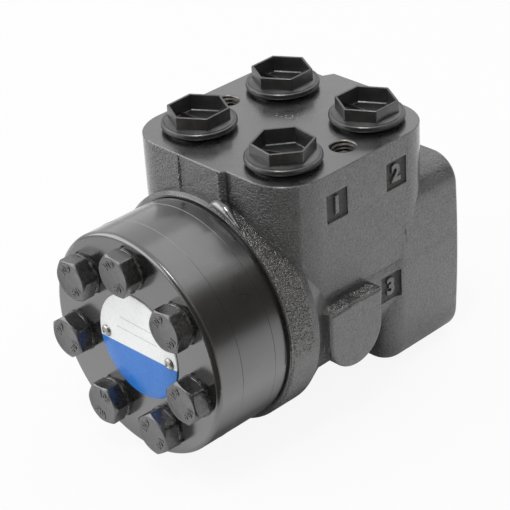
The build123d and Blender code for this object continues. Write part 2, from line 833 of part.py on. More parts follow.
spring_ring_r = sleeve_r - ring_clearance
spring_ring = ring(
    spring_ring_r, ring_seat_r + ring_clearance, spring_y + spring_ring_width / 2 - ring_clearance,
    spring_ring_width - 2 * ring_clearance,
)
save(spring_ring, "spring_ring")

swing_travel = spool_r * sin(radians(spool_swing))
with BuildPart() as spool:
    with BuildSketch(Plane.XY):
        with BuildLine():
            Polyline(
                (spool_inner_r, spool_start_y),
                (spool_r, spool_start_y),
                (spool_r, spool_end_y),
                (nose_r, spool_end_y),
                (nose_r, nose_end_y - nose_chamfer),
                (nose_r - nose_chamfer, nose_end_y),
                (pilot_r, nose_end_y),
                (pilot_r, spline_start_y),
                (spline_major_r, spline_start_y),
                (spline_major_r, spool_end_y - spool_shoulder),
                (spool_inner_r, spool_end_y - spool_shoulder),
                close=True,
            )
        make_face()
    revolve(axis=Axis.Y)
    with BuildSketch(facing_cover(spline_start_y)):
        tooth_height = spline_major_r - spline_minor_r + cut_margin
        with PolarLocations(spline_minor_r + tooth_height / 2, spline_teeth):
            Rectangle(tooth_height, spline_tooth_width)
    extrude(amount=spline_depth - pilot_depth)
    with BuildSketch(facing_cover(pin_y - pin_r - spool_slot_gap)):
        with PolarLocations(spool_r, spool_slot_count, start_angle=180 / spool_slot_count):
            Rectangle(2 * spool_slot_depth, spool_slot_width)
    extrude(amount=spool_slot_length, mode=Mode.SUBTRACT)
    with BuildSketch(side_wall(0, pin_y)):
        Rectangle(2 * (pin_r + window_play), 2 * (pin_r + swing_travel + window_play))
    extrude(amount=2 * spool_r, both=True, mode=Mode.SUBTRACT)
    with BuildSketch(side_wall(0, spring_y)):
        Rectangle(
            spring_width + 2 * window_play,
            spring_pack_height + 2 * (swing_travel + window_play),
        )
    extrude(amount=2 * spool_r, both=True, mode=Mode.SUBTRACT)
save(spool, "spool")

# ---------------------------------------------------------------- thrust bearing and seals
save(ring(bearing_outer_r, bearing_inner_r, outer_race_y, race_thickness), "bearing_outer_race")
save(ring(bearing_outer_r, bearing_inner_r, inner_race_y, race_thickness), "bearing_inner_race")

needle_middle_r = (bearing_outer_r + bearing_inner_r) / 2
cage_middle_y = cage_y - cage_thickness / 2
needle_plane = facing_cover(cage_middle_y + cage_ring_thickness / 2)
with BuildPart() as bearing_cage:
    with BuildSketch(needle_plane):
        Circle(bearing_outer_r - cage_edge)
        Circle(bearing_inner_r + cage_edge, mode=Mode.SUBTRACT)
        with PolarLocations(needle_middle_r, needle_count):
            Rectangle(
                needle_length + 2 * needle_clearance,
                2 * (needle_r + needle_clearance),
                mode=Mode.SUBTRACT,
            )
    extrude(amount=cage_ring_thickness)
save(bearing_cage, "bearing_cage")

with BuildPart() as bearing_needles:
    for step in range(needle_count):
        turn = radians(step * 360 / needle_count)
        start_r = needle_middle_r - needle_length / 2
        radial = Vector(cos(turn), 0, sin(turn))
        start = Vector(0, cage_middle_y, 0) + radial * start_r
        with BuildSketch(Plane(origin=start, x_dir=(0, 1, 0), z_dir=radial)):
            Circle(needle_r)
        extrude(amount=needle_length)
save(bearing_needles, "bearing_needles")

seal_inner_r = nose_r + seal_clearance
shaft_seal = turned(
    (shaft_seal_r - seal_clearance, -shaft_seal_start - seal_clearance),
    (shaft_seal_r - seal_clearance, -shaft_seal_start - shaft_seal_width + seal_clearance),
    (seal_inner_r + seal_lip, -shaft_seal_start - shaft_seal_width + seal_clearance),
    (seal_inner_r, -shaft_seal_start - shaft_seal_width / 2),
    (seal_inner_r + seal_lip, -shaft_seal_start - seal_clearance),
)
save(shaft_seal, "shaft_seal")

dust_seal = turned(
    (dust_seal_r - seal_clearance, -dust_seal_depth),
    (dust_seal_r - seal_clearance, -dust_seal_recess),
    (dust_seal_r - dust_seal_wall, -dust_seal_recess),
    (dust_seal_r - dust_seal_wall, -dust_seal_recess - dust_seal_web),
    (seal_inner_r + seal_lip, -dust_seal_recess - dust_seal_web),
    (seal_inner_r, -dust_seal_recess),
    (seal_inner_r, -dust_seal_recess - seal_lip),
    (seal_inner_r + seal_lip, -dust_seal_depth),
)
save(dust_seal, "dust_seal")

# ---------------------------------------------------------------- port plugs
hex_inner_r = plug_hex_r - plug_wall / cos(radians(30))
with BuildPart() as plug:
    with BuildSketch(Plane.XZ):
        with BuildLine():
            Polyline(
                (0, -plug_shank_length),
                (port_r - plug_shank_clearance - plug_lead, -plug_shank_length),
                (port_r - plug_shank_clearance, plug_lead - plug_shank_length),
                (port_r - plug_shank_clearance, 0),
                (plug_collar_r, 0),
                (plug_collar_r, plug_collar_height),
                (plug_flange_r - plug_lip_height, plug_collar_height),
                (plug_flange_r, plug_collar_height + plug_lip_height),
                (plug_flange_r, plug_flange_height - plug_lip_height),
                (plug_flange_r - plug_lip_height, plug_flange_height),
                (plug_flange_r - 2 * plug_lip_height, plug_flange_height),
                (plug_flange_r - 3 * plug_lip_height, plug_flange_height - plug_lip_height),
                (0, plug_flange_height + plug_lip_height),
                close=True,
            )
        make_face()
    revolve(axis=Axis.Z)
    with BuildSketch(Plane.XY.offset(plug_floor)):
        RegularPolygon(plug_hex_r, 6)
    extrude(amount=plug_hex_top - plug_floor)
    with BuildSketch(Plane.XY.offset(plug_floor)):
        RegularPolygon(hex_inner_r, 6)
    extrude(amount=plug_hex_top, mode=Mode.SUBTRACT)
    with BuildSketch(Plane.XY.offset(plug_floor)):
        Rectangle(2 * hex_inner_r * cos(radians(30)), plug_rib_width, rotation=30)
    extrude(amount=plug_rib_height)

plug_names = ("port_plug_front_left", "port_plug_front_right", "port_plug_back_left", "port_plug_back_right")
for name, (plug_x, plug_y), plug_turn in zip(plug_names, port_places, plug_turns):
    with BuildPart() as port_plug:
        with Locations((plug_x, plug_y, port_face_height)):
            add(plug.part, rotation=(0, 0, plug_turn))
    save(port_plug, name)
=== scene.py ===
import json
from math import atan2, cos, pi, radians, sin, tau

import bmesh
import bpy
from mathutils import Matrix, Vector, noise

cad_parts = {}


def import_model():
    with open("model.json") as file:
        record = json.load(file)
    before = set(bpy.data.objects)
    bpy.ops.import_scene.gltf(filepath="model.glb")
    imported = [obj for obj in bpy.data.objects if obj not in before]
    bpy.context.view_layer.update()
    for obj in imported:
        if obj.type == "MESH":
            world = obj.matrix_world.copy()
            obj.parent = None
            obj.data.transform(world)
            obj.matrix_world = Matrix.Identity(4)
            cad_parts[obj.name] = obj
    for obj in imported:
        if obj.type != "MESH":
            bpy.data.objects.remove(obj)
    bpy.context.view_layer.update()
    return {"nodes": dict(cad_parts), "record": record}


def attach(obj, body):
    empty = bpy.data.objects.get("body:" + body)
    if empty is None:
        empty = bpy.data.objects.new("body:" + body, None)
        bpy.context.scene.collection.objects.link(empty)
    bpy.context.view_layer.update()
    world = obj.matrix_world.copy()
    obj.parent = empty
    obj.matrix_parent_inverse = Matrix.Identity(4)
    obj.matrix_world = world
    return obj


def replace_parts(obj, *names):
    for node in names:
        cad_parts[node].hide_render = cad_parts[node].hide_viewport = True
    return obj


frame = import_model()
MM = 0.001

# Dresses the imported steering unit. Lengths are in millimetres and MM turns them into metres, except in the
# section on the stage, light and camera, which is in metres. Places are in the CAD frame: X towards the
# lug side, Y out of the column face, Z out of the port face.

# Port face, its plugs as (x, y, turn in degrees) and its two threaded holes
PORT_FACE_Z = 61.6
PORTS = {
    "port_plug_front_left": (-23.0, -76.5, 33.0),
    "port_plug_front_right": (23.0, -76.5, 51.5),
    "port_plug_back_left": (-23.0, -30.5, 32.0),
    "port_plug_back_right": (23.0, -30.5, 30.0),
}
PORT_BOLT_X = 31.7
PORT_BOLT_Y = -53.5
PORT_THREAD_DEPTH = 15.5

# Column face: four threaded holes on a circle
COLUMN_CIRCLE_R = 41.25
COLUMN_THREAD_DEPTH = 17.5
HOLE_MOUTH_DEPTH = 0.5

# Cover, its bolts and how each is turned, and the marks on their heads, in degrees
COVER_FACE_Y = -137.5
COVER_CORNER_Y = (-137.2, -136.0)
BOLT_COUNT = 7
BOLT_CIRCLE_R = 33.9
BOLT_START = 37.5
BOLT_PITCH = 360 / BOLT_COUNT
BOLT_TURNS = (8.0, 56.0, 9.0, 36.5, 6.0, 36.0, 45.0)
MARK_TURNS = (135.0, 120.0, 125.0, 150.0, 250.0, 150.0, 320.0)
MARK_R = 4.7
MARK_HEIGHT = 7.24
LETTER_TURN = 24.0
POINT_TURN = 9.0

# Name plate and its rivets
PLATE_X, PLATE_Z = 2.4, 0.8
RIVET_REACH = 17.9

# Gear ring: seams at its two ends, drawn round the axis
RING_SEAM_Y = (-125.2, -108.4)
TURNS = [tau * step / 256 for step in range(256)]

# Just inside the planes of the housing's machined faces
PORT_FACE_LIMIT_Z = 61.45
COLUMN_FACE_LIMIT_Y = -0.05
GEAR_FACE_LIMIT_Y = -101.7

# Cast windows on the lug side: number, x of the floor, y and z of the middle, and half the floor's sides
WINDOWS = (("1", 42.7, -70.0, 47.25), ("2", 42.7, -37.0, 47.25), ("3", 42.2, -40.8, -2.1))
WINDOW_HALF_Y, WINDOW_HALF_Z = 5.55, 5.9

# Limits in y and z of the softened rims round the two upper windows, and the wall's least x
WINDOW_RIMS = ((-75.9, -64.1, 41.4, 53.1), (-42.9, -31.1, 41.4, 53.1))
WINDOW_WALL_X = 40


# ---------------------------------------------------------------- shader helper
class Shader:
    """A Principled material with the few node patterns that the part's finishes share."""

    coat_roughness = 0.16
    colour_inputs = (6, 7)
    colour_output = 2

    def __init__(self, name, colour, roughness, metallic=0.0, ior=1.5, coat=0.0):
        self.material = bpy.data.materials.new(name)
        self.material.use_nodes = True
        self.tree = self.material.node_tree
        self.tree.nodes.clear()
        self.surface = self.add("ShaderNodeBsdfPrincipled")
        self.surface.inputs["Base Color"].default_value = (*colour, 1)
        self.surface.inputs["Roughness"].default_value = roughness
        self.surface.inputs["Metallic"].default_value = metallic
        self.surface.inputs["IOR"].default_value = ior
        self.surface.inputs["Coat Weight"].default_value = coat
        self.surface.inputs["Coat Roughness"].default_value = self.coat_roughness
        output = self.add("ShaderNodeOutputMaterial")
        self.link(self.surface.outputs[0], output.inputs["Surface"])
        self.place = self.add("ShaderNodeTexCoord").outputs["Object"]

    def add(self, kind, **settings):
        node = self.tree.nodes.new(kind)
        for key, value in settings.items():
            setattr(node, key, value)
        return node

    def link(self, source, target):
        self.tree.links.new(source, target)

    def feed(self, socket, value):
        """Set a socket to a number, or link it to another socket."""
        if isinstance(value, (int, float)):
            socket.default_value = value
        else:
            self.link(value, socket)

    def noise(self, size, detail=2.0, roughness=0.5, stretch=None):
        """Noise whose patches are about size millimetres across."""
        node = self.add("ShaderNodeTexNoise")
        node.inputs["Scale"].default_value = 1 / (size * MM)
        node.inputs["Detail"].default_value = detail
        node.inputs["Roughness"].default_value = roughness
        self.link(self.place if stretch is None else self.stretched(stretch), node.inputs["Vector"])
        return node.outputs["Fac"]

    def stretched(self, scale):
        node = self.add("ShaderNodeMapping")
        node.inputs["Scale"].default_value = scale
        self.link(self.place, node.inputs["Vector"])
        return node.outputs["Vector"]

    def mottle(self, size, detail, roughness, low, high):
        """Soft patches that vary between low and high."""
        return self.span(self.noise(size, detail, roughness), 0.3, 0.7, low, high)

    def cells(self, size):
        """Distance from the middles of cells about size millimetres across."""
        node = self.add("ShaderNodeTexVoronoi")
        node.inputs["Scale"].default_value = 1 / (size * MM)
        self.link(self.place, node.inputs["Vector"])
        return node.outputs["Distance"]

    def math(self, operation, first, second=0.0):
        node = self.add("ShaderNodeMath", operation=operation)
        self.feed(node.inputs[0], first)
        self.feed(node.inputs[1], second)
        return node.outputs[0]

    def span(self, value, low, high, out_low=0.0, out_high=1.0):
        """Map low..high to out_low..out_high, and hold the ends."""
        node = self.add("ShaderNodeMapRange")
        self.feed(node.inputs["Value"], value)
        for key, number in zip(("From Min", "From Max", "To Min", "To Max"), (low, high, out_low, out_high)):
            node.inputs[key].default_value = number
        return node.outputs["Result"]

    def axes(self):
        """X, Y and Z of the shaded point, in metres."""
        node = self.add("ShaderNodeSeparateXYZ")
        self.link(self.place, node.inputs[0])
        return node.outputs

    def blend(self, factor, first, second):
        """Mix two colours, each a tuple or a socket."""
        node = self.add("ShaderNodeMix", data_type="RGBA")
        self.feed(node.inputs["Factor"], factor)
        for index, value in zip(self.colour_inputs, (first, second)):
            socket = node.inputs[index]
            if isinstance(value, tuple):
                socket.default_value = (*value, 1)
            else:
                self.link(value, socket)
        return node.outputs[self.colour_output]

    def colour(self, value):
        self.link(value, self.surface.inputs["Base Color"])

    def roughness(self, value):
        self.link(value, self.surface.inputs["Roughness"])

    def bumps(self, *layers):
        """Stacks (height, depth in mm) layers of bump and puts them on the surface."""
        normal = None
        for height, depth in layers:
            node = self.add("ShaderNodeBump")
            node.inputs["Strength"].default_value = 1.0
            node.inputs["Distance"].default_value = depth * MM
            self.link(height, node.inputs["Height"])
            if normal is not None:
                self.link(normal, node.inputs["Normal"])
            normal = node.outputs["Normal"]
        self.link(normal, self.surface.inputs["Normal"])


# ---------------------------------------------------------------- materials
def inside(s, value, low, high):
    """Mask that is 1 where a coordinate in metres lies between two places in millimetres."""
    return s.math("MULTIPLY", s.math("GREATER_THAN", value, low * MM), s.math("LESS_THAN", value, high * MM))


def fade(s, value, start, end):
    """Mask that goes from 0 to 1 between two places in millimetres."""
    return s.span(value, start * MM, end * MM)


def rim_line(s, first, second, box):
    """Soft groove that runs round a window given by its limits along two axes."""
    half_width = 0.7
    low_1, high_1, low_2, high_2 = box
    across = s.math("ABSOLUTE", s.math("SUBTRACT", first, (low_1 + high_1) / 2 * MM))
    upward = s.math("ABSOLUTE", s.math("SUBTRACT", second, (low_2 + high_2) / 2 * MM))
    outside = s.math(
        "MAXIMUM",
        s.math("SUBTRACT", across, (high_1 - low_1) / 2 * MM),
        s.math("SUBTRACT", upward, (high_2 - low_2) / 2 * MM),
    )
    return s.span(s.math("ABSOLUTE", outside), 0.0, half_width * MM, 1.0, 0.0)


def cast_paint():
    """Black paint over as-cast iron: orange peel, pits, and coarse grain where sand stuck to the casting."""
    s = Shader("cast_paint", (0.012, 0.012, 0.012), 0.34, ior=2.25, coat=1.0)
    x, y, z = s.axes()
    port_face = s.math("GREATER_THAN", z, PORT_FACE_LIMIT_Z * MM)
    column_face = s.math("GREATER_THAN", y, COLUMN_FACE_LIMIT_Y * MM)
    gear_face = s.math("LESS_THAN", y, GEAR_FACE_LIMIT_Y * MM)
    machined = s.math("MAXIMUM", s.math("MAXIMUM", port_face, column_face), gear_face)
    cast = s.math("SUBTRACT", 1.0, machined)
    flange = s.math("MULTIPLY", fade(s, y, -82, -92), fade(s, z, 50, 44))
    front = s.math("MULTIPLY", s.math("LESS_THAN", y, -95 * MM), s.math("LESS_THAN", x, -9 * MM))
    shelf = s.math("MULTIPLY", s.math("GREATER_THAN", x, 43.9 * MM), inside(s, z, 5.0, 7.0))
    shoulder = s.math("MULTIPLY", fade(s, y, -22, -17), fade(s, z, 34, 42))
    coarse = s.math("MAXIMUM", s.math("MAXIMUM", flange, shelf), s.math("MAXIMUM", front, shoulder))
    peel = s.noise(0.95, 2.0, 0.6, stretch=(1.0, 0.8, 1.15))
    grain = s.noise(0.42, 2.0, 0.7)
    wave = s.noise(8.0, 3.0, 0.55)
    pits = s.span(s.cells(2.2), 0.05, 0.2)
    amount = s.math("MULTIPLY", cast, s.span(coarse, 0, 1, 1.0, 1.35))
    sand = s.math("MULTIPLY", s.span(s.cells(0.8), 0.0, 0.6, 1.0, 0.0), s.math("MULTIPLY", coarse, cast))
    rims = None
    for box in WINDOW_RIMS:
        rim = rim_line(s, y, z, box)
        rims = rim if rims is None else s.math("MAXIMUM", rims, rim)
    rims = s.math("MULTIPLY", rims, s.math("GREATER_THAN", x, WINDOW_WALL_X * MM))
    s.bumps(
        (s.math("MULTIPLY", wave, cast), 0.8),
        (s.math("MULTIPLY", peel, amount), 1.1),
        (s.math("MULTIPLY", pits, cast), 0.35),
        (s.math("MULTIPLY", grain, amount), 0.3),
        (s.math("MULTIPLY", sand, amount), 0.4),
        (s.math("SUBTRACT", 1.0, rims), 0.25),
    )
    stain = s.span(s.noise(9.0, 4.0, 0.6), 0.4, 0.7)
    speck = s.span(s.noise(0.9, 2.0, 0.7), 0.5, 0.72)
    shade = s.blend(s.math("MULTIPLY", speck, cast), (0.007, 0.007, 0.007), (0.045, 0.045, 0.046))
    shade = s.blend(s.math("MULTIPLY", coarse, speck), shade, (0.065, 0.062, 0.052))
    s.colour(s.blend(s.math("MULTIPLY", stain, 0.35), shade, (0.012, 0.012, 0.0115)))
    rough = s.mottle(4.0, 3.0, 0.6, 0.24, 0.38)
    fine = s.math("MULTIPLY", s.span(s.noise(0.8, 2.0, 0.6), 0.4, 0.65, 0.0, 0.3), cast)
    s.roughness(s.math("ADD", rough, fine))
    return s.material


def grit_paint():
    """Thick glossy paint over burnt-on sand, which sparkles."""
    s = Shader("grit_paint", (0.03, 0.03, 0.028), 0.2, ior=2.1, coat=1.0)
    speck = s.span(s.noise(0.7, 2.0, 0.7), 0.45, 0.65)
    s.colour(s.blend(speck, (0.012, 0.012, 0.011), (0.11, 0.106, 0.094)))
    s.roughness(s.mottle(1.5, 3.0, 0.6, 0.08, 0.24))
    s.bumps((s.span(s.cells(0.6), 0.0, 0.6, 1.0, 0.0), 0.3), (s.noise(0.35, 2.0, 0.7), 0.12))
    return s.material


def matt_shade_paint():
    """Dull, darker paint without coat, for the window floors and for the painted shadow in the column crease.
    """
    s = Shader("matt_shade_paint", (0.012, 0.012, 0.0115), 0.5, ior=1.8)
    # Darker than the cast paint; in the column crease this dark colour is painted shadow.
    s.colour(s.blend(s.noise(0.9, 3.0, 0.6), (0.005, 0.005, 0.0045), (0.03, 0.029, 0.026)))
    s.roughness(s.mottle(1.2, 3.0, 0.6, 0.4, 0.6))
    s.bumps((s.noise(0.5, 3.0, 0.7), 0.25),)
    return s.material


def smooth_paint():
    """Satin black paint on turned faces, a little rougher on the sides, with some orange peel."""
    s = Shader("smooth_paint", (0.012, 0.012, 0.012), 0.22, ior=2.1, coat=1.0)
    _, y, _ = s.axes()
    side = s.span(y, COVER_CORNER_Y[0] * MM, COVER_CORNER_Y[1] * MM, 0.0, 0.1)
    dust = s.span(s.noise(1.2, 3.0, 0.6), 0.45, 0.8)
    s.colour(s.blend(s.math("MULTIPLY", dust, 0.3), (0.009, 0.009, 0.009), (0.02, 0.02, 0.019)))
    s.roughness(s.math("ADD", side, s.mottle(7.0, 3.0, 0.5, 0.17, 0.23)))
    turned = s.noise(0.9, 2.0, 0.5, stretch=(0.04, 1.0, 0.04))
    s.bumps((s.noise(9.0, 2.0, 0.5), 0.08), (s.noise(0.7, 2.0, 0.6), 0.022), (turned, 0.004))
    return s.material


def bolt_black():
    """Black oxide on forged steel with small handling marks."""
    s = Shader("bolt_black", (0.02, 0.02, 0.02), 0.3, ior=2.2)
    worn = s.span(s.noise(1.6, 5.0, 0.7), 0.5, 0.75)
    s.colour(s.blend(worn, (0.012, 0.012, 0.012), (0.045, 0.045, 0.046)))
    s.roughness(s.mottle(2.0, 4.0, 0.65, 0.2, 0.4))
    s.bumps((s.noise(3.0, 2.0, 0.5), 0.16), (s.noise(0.6, 3.0, 0.7), 0.03))
    return s.material


def washer_steel():
    """Dark washer with a worn, brighter rim."""
    s = Shader("washer_steel", (0.06, 0.06, 0.06), 0.28, metallic=0.5, ior=2.1)
    worn = s.span(s.noise(1.2, 4.0, 0.7), 0.42, 0.7)
    s.colour(s.blend(worn, (0.03, 0.03, 0.03), (0.26, 0.255, 0.25)))
    s.roughness(s.mottle(1.0, 3.0, 0.6, 0.2, 0.4))
    s.bumps((s.noise(0.6, 3.0, 0.6), 0.02),)
    return s.material


def plug_plastic():
    """Moulded black polyethylene with a soft sheen and faint flow marks."""
    s = Shader("plug_plastic", (0.01, 0.01, 0.01), 0.36, ior=2.1)
    flow = s.span(s.noise(3.0, 4.0, 0.6), 0.4, 0.75)
    s.colour(s.blend(flow, (0.007, 0.007, 0.007), (0.018, 0.018, 0.018)))
    s.roughness(s.mottle(5.0, 3.0, 0.6, 0.3, 0.42))
    s.bumps((s.noise(4.0, 2.0, 0.5), 0.16), (s.noise(0.7, 2.0, 0.6), 0.012))
    return s.material


def plate_print():
    """Printed aluminium disc: white above, blue below a slightly slanted line, with two grey rules."""
    slant, line_drop, line_blur = 0.03, 1.65, 0.05
    rule_places = ((5.6, 11.5), (10.4, 9.0))
    rule_half_width = 0.14
    s = Shader("plate_print", (0.8, 0.8, 0.8), 0.3, ior=1.5)
    x, _, z = s.axes()
    low = s.math("SUBTRACT", s.math("MULTIPLY", x, slant), s.math("ADD", z, line_drop * MM))
    blue = fade(s, low, -line_blur, line_blur)
    rules = None
    for height, half in rule_places:
        off_rule = s.math("ABSOLUTE", s.math("SUBTRACT", z, height * MM))
        band = s.math("LESS_THAN", off_rule, rule_half_width * MM)
        reach = s.math("LESS_THAN", s.math("ABSOLUTE", s.math("SUBTRACT", x, PLATE_X * MM)), half * MM)
        rule = s.math("MULTIPLY", band, reach)
        rules = rule if rules is None else s.math("MAXIMUM", rules, rule)
    tint = s.noise(9.0, 3.0, 0.5)
    white = s.blend(tint, (0.83, 0.845, 0.85), (0.88, 0.885, 0.88))
    white = s.blend(s.math("MULTIPLY", rules, 0.75), white, (0.2, 0.24, 0.3))
    ink = s.blend(tint, (0.018, 0.15, 0.54), (0.03, 0.2, 0.62))
    s.colour(s.blend(blue, white, ink))
    s.roughness(s.mottle(3.0, 4.0, 0.6, 0.22, 0.36))
    s.bumps((s.noise(2.2, 2.0, 0.5), 0.02),)
    return s.material


def bare_metal(name, colour, low, high, bump):
    """Bare steel or aluminium with fine machining marks."""
    s = Shader(name, colour, low, metallic=1.0)
    dark = tuple(channel * 0.72 for channel in colour)
    s.colour(s.blend(s.noise(2.0, 4.0, 0.6), dark, colour))
    s.roughness(s.mottle(0.8, 3.0, 0.6, low, high))
    s.bumps((s.noise(0.35, 2.0, 0.6, stretch=(1.0, 0.25, 1.0)), bump),)
    return s.material


def rubber():
    """Dull nitrile rubber of the seals."""
    s = Shader("seal_rubber", (0.02, 0.02, 0.02), 0.6)
    s.colour(s.blend(s.noise(2.0, 4.0, 0.6), (0.014, 0.014, 0.014), (0.03, 0.03, 0.03)))
    s.bumps((s.noise(0.4, 3.0, 0.6), 0.01),)
    return s.material


def wet_paint():
    """Paint that gathered thickly and dried glossy."""
    s = Shader("wet_paint", (0.03, 0.03, 0.03), 0.08, ior=2.4, coat=1.0)
    s.roughness(s.mottle(2.0, 2.0, 0.5, 0.05, 0.16))
    s.bumps((s.noise(1.4, 2.0, 0.5), 0.08),)
    return s.material


MATERIALS = {
    "cast_housing": cast_paint(),
    "gear_set_paint": smooth_paint(),
    "bolt_black": bolt_black(),
    "washer_steel": washer_steel(),
    "seal_rubber": rubber(),
    "name_plate": plate_print(),
    "rivet_metal": bare_metal("rivet_metal", (0.5, 0.49, 0.46), 0.25, 0.45, 0.02),
    "plug_plastic": plug_plastic(),
    "valve_steel": bare_metal("valve_steel", (0.42, 0.42, 0.43), 0.22, 0.4, 0.006),
    "bright_steel": bare_metal("bright_steel", (0.55, 0.55, 0.56), 0.15, 0.3, 0.004),
    "spring_steel": bare_metal("spring_steel", (0.3, 0.32, 0.36), 0.2, 0.38, 0.004),
}
THREAD_METAL = bare_metal("thread_metal", (0.11, 0.105, 0.095), 0.35, 0.55, 0.012)
RIM_METAL = bare_metal("rim_metal", (0.26, 0.25, 0.235), 0.3, 0.45, 0.01)
WET_PAINT = wet_paint()
GRIT_PAINT = grit_paint()
MATT_SHADE_PAINT = matt_shade_paint()


# ---------------------------------------------------------------- mesh helpers
def piece(name, mesh, material, body="housing", smooth_angle=32):
    """Link a bmesh as an object that rides on a body."""
    data = bpy.data.meshes.new(name)
    bmesh.ops.recalc_face_normals(mesh, faces=mesh.faces)
    mesh.to_mesh(data)
    mesh.free()
    data.materials.append(material)
    data.shade_smooth()
    data.set_sharp_from_angle(angle=radians(smooth_angle))
    made = bpy.data.objects.new(name, data)
    bpy.context.scene.collection.objects.link(made)
    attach(made, body)
    return made


def loops(mesh, rings, closed_start=False, closed_end=False):
    """Skin a list of equally long closed rings of points in millimetres."""
    rows = [[mesh.verts.new(Vector(point) * MM) for point in ring] for ring in rings]
    count = len(rows[0])
    for low, high in zip(rows, rows[1:]):
        for step in range(count):
            after = (step + 1) % count
            mesh.faces.new((low[step], low[after], high[after], high[step]))
    if closed_start:
        mesh.faces.new(rows[0])
    if closed_end:
        mesh.faces.new(rows[-1])


def grid_mesh(columns, rows, point_at):
    """Open sheet of faces through point_at(u, v), in millimetres, where u and v run from 0 to 1."""
    mesh = bmesh.new()
    grid = []
    for i in range(columns + 1):
        grid.append([mesh.verts.new(point_at(i / columns, j / rows) * MM) for j in range(rows + 1)])
    for i in range(columns):
        for j in range(rows):
            mesh.faces.new((grid[i][j], grid[i + 1][j], grid[i + 1][j + 1], grid[i][j + 1]))
    return mesh


def circle(radius, height, count=64, centre=(0, 0)):
    """Ring of points at a height."""
    turns = [tau * step / count for step in range(count)]
    return [(centre[0] + radius * cos(t), centre[1] + radius * sin(t), height) for t in turns]


def rounded_hexagon(corner_r, inset, height, fillet=0.5, per_corner=4):
    """Closed ring of a hexagon with small rounded corners, inset from its nominal outline."""
    least_fillet = 0.12
    apothem = corner_r * cos(pi / 6) - inset
    fillet = max(fillet - inset, least_fillet)
    centre_r = (apothem - fillet) / cos(pi / 6)
    points = []
    for corner in range(6):
        middle = radians(60 * corner)
        for step in range(per_corner):
            swing = middle + radians(-30 + 60 * step / (per_corner - 1))
            x = centre_r * cos(middle) + fillet * cos(swing)
            y = centre_r * sin(middle) + fillet * sin(swing)
            points.append((x, y, height))
    return points


def facing_cover(x, z, y=COVER_FACE_Y):
    """Matrix from a piece built along +Z to the cover face, looking along -Y."""
    turn = Matrix(((1, 0, 0), (0, 0, -1), (0, 1, 0))).to_4x4()
    return shift(x, y, z) @ turn


def place(mesh, matrix):
    """Move a bmesh by a matrix in metres."""
    bmesh.ops.transform(mesh, matrix=matrix, verts=mesh.verts)


def shift(x, y, z):
    """Matrix that moves by millimetres."""
    return Matrix.Translation(Vector((x, y, z)) * MM)


def join(target, source):
    """Move a bmesh's faces into another."""
    data = bpy.data.meshes.new("joined")
    source.to_mesh(data)
    source.free()
    target.from_mesh(data)
    bpy.data.meshes.remove(data)


# ---------------------------------------------------------------- bolts, washers, marks
def hex_head(width=16.0, base=1.2, height=6.3, face_r=7.6, slope=0.577, count=96):
    """Bolt head with the scalloped chamfer that a turned cone leaves on a hexagon, and its shank."""
    corner_softening = 0.16
    shank_r, shank_end, shank_tip_r, shank_tip = 4.9, -30.0, 4.1, -30.8
    top = base + height
    turns = [tau * step / count for step in range(count)]
    hexagon = [width / 2 / cos((t % (pi / 3)) - pi / 6) for t in turns]
    soft = [min(r, width / 2 / cos(pi / 6) - corner_softening) for r in hexagon]
    crown = [top - (r - face_r) * slope for r in soft]

    def ring(radii, heights):
        return [(r * cos(t), r * sin(t), h) for r, t, h in zip(radii, turns, heights)]

    rows = [
        ring([r - 0.5 for r in soft], [base] * count),
        ring([r - 0.12 for r in soft], [base] * count),
        ring(soft, [base + 0.14] * count),
        ring(soft, [h - 0.12 for h in crown]),
        ring([r - 0.1 for r in soft], [h + 0.03 for h in crown]),
    ]
    dished_face = (
        (face_r + 0.12, top - 0.1), (face_r - 0.08, top), (face_r - 0.6, top - 0.04),
        (face_r - 1.2, top - 0.24), (1.2, top - 0.28),
    )
    rows += [ring([r] * count, [h] * count) for r, h in dished_face]
    mesh = bmesh.new()
    loops(mesh, rows, closed_end=True)
    shank = ((shank_r, base + 0.01), (shank_r, shank_end), (shank_tip_r, shank_tip))
    loops(mesh, [circle(r, h, count) for r, h in shank], closed_end=True)
    return mesh


def washer_rings(outer_r=8.6, thickness=1.2, bore=5.3):
    """A plain washer with a narrow step round its rim."""
    mesh = bmesh.new()
    profile = (
        (bore, 0.02), (outer_r - 0.2, 0.02), (outer_r, 0.2), (outer_r, 0.5), (outer_r - 0.35, 0.62),
        (outer_r - 0.15, 0.72), (outer_r - 0.15, thickness - 0.22), (outer_r - 0.4, thickness - 0.02),
        (bore, thickness - 0.02), (bore, 0.02),
    )
    loops(mesh, [circle(r, h, 72) for r, h in profile])
    return mesh


def number_mesh(text, size, raise_by, thickness=0.0, heavier=0.0):
    """Text as a bmesh in the XY plane, centred, raised along +Z."""
    curve = bpy.data.curves.new("number", "FONT")
    curve.body = text
    curve.size = size * MM
    curve.extrude = raise_by * MM
    curve.bevel_depth = thickness * MM
    curve.offset = heavier * MM
    curve.align_x = "CENTER"
    curve.align_y = "CENTER"
    curve.resolution_u = 4
    holder = bpy.data.objects.new("number", curve)
    bpy.context.scene.collection.objects.link(holder)
    data = bpy.data.meshes.new_from_object(holder)
    bpy.data.objects.remove(holder)
    mesh = bmesh.new()
    mesh.from_mesh(data)
    bpy.data.meshes.remove(data)
    return mesh


def rim_marks(placing, text, middle):
    """Digits set one by one along the rim of a bolt head, their tops outwards."""
    marks = bmesh.new()
    steps = [POINT_TURN if letter == "." else LETTER_TURN for letter in text]
    turn = middle + sum(steps) / 2
    for letter, step in zip(text, steps):
        turn -= step / 2
        mark = number_mesh(letter, size=4.2, raise_by=0.17, thickness=0.07, heavier=0.05)
        at = Matrix.Rotation(radians(turn - 90), 4, "Z") @ shift(0, MARK_R, MARK_HEIGHT)
        place(mark, placing @ at)
        join(marks, mark)
        turn -= step / 2
    return marks


